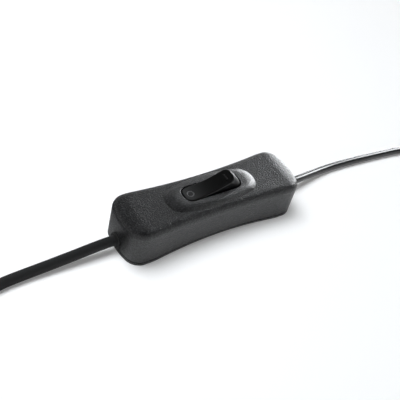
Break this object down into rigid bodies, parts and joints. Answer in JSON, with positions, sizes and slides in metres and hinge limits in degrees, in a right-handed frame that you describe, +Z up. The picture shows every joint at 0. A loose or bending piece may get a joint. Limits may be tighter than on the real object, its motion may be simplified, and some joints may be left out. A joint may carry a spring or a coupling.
{
  "type": "in-line rocker light switch",
  "caption": "Black in-line rocker switch for a lamp lead: waisted two-piece casing, slim rocker in an oval boss, thick supply cord with barrel socket, thin lamp cord with barrel plug.",
  "frame": {"origin": "under the middle of the casing, on the surface it lies on", "axes": "+X along the casing towards the thin lamp cord, +Y away from the viewer, +Z up"},
  "size_m": [0.3415, 0.0245, 0.0191],
  "materials": {
    "casing": "fine spark-eroded grain",
    "rocker": "polished",
    "bush": "matt",
    "supply_cord": "matt",
    "lamp_cord": "glossy",
    "tie": "matt",
    "connector": "satin",
    "inner_plastic": "plain",
    "brass": "rolled strip",
    "contact_metal": "plain",
    "nickel": "bright",
    "steel": "plain",
    "brown_core": "plain",
    "blue_core": "plain",
    "copper": "plain"
  },
  "bodies": {
    "casing": {"case_screw_left": "steel", "case_screw_right": "steel", "fixed_contact": "contact_metal", "input_terminal": "brass", "lamp_clamp_bar": "inner_plastic", "lamp_clamp_screw_far": "steel", "lamp_clamp_screw_near": "steel", "lamp_cord_bush": "bush", "lamp_cord_end": "lamp_cord", "lamp_cord_hank": "lamp_cord", "lamp_cord_run": "lamp_cord", "lamp_cord_tail": "lamp_cord", "lamp_cord_tie": "tie", "lamp_live_conductor": "copper", "lamp_live_core": "brown_core", "lamp_neutral_conductor": "copper", "lamp_neutral_core": "blue_core", "lower_casing": "casing", "neutral_link": "brass", "output_terminal": "brass", "plug_barrel": "nickel", "plug_body": "connector", "plug_insulator": "connector", "socket_body": "connector", "socket_pin": "nickel", "socket_sleeve": "nickel", "supply_clamp_bar": "inner_plastic", "supply_clamp_screw_far": "steel", "supply_clamp_screw_near": "steel", "supply_cord_bush": "bush", "supply_cord_end": "supply_cord", "supply_cord_hank": "supply_cord", "supply_cord_run": "supply_cord", "supply_cord_tail": "supply_cord", "supply_cord_tie": "tie", "supply_live_conductor": "copper", "supply_live_core": "brown_core", "supply_neutral_conductor": "copper", "supply_neutral_core": "blue_core", "terminal_screw_live_in": "steel", "terminal_screw_live_out": "steel", "terminal_screw_neutral_in": "steel", "terminal_screw_neutral_out": "steel", "upper_casing": "casing"},
    "rocker": {"rocker": "rocker", "plunger_spring": "steel"},
    "plunger": {"plunger": "inner_plastic"},
    "lever": {"contact_lever": "brass", "lever_contact": "contact_metal"}
  },
  "joints": [
    {"name": "rocker_tilt", "type": "hinge", "parent": "casing", "child": "rocker", "pos_m": [0, 0, 0.0098], "axis": [0, 1, 0], "range_deg": [0, 26.6]},
    {"name": "plunger_slide", "type": "slide", "parent": "rocker", "child": "plunger", "axis": [-0.23, 0, 0.9732], "range_m": [0, 0.0004], "stiffness_N_per_m": 600, "springref_m": -0.001, "deforming": ["plunger_spring"]},
    {"name": "lever_tilt", "type": "hinge", "parent": "casing", "child": "lever", "pos_m": [0, 0, 0.00551], "axis": [0, 1, 0], "range_deg": [-11, 0]}
  ],
  "couplings": [
    {"joint": "lever_tilt", "follows": "rocker_tilt", "ratio": -0.41353}
  ]
}
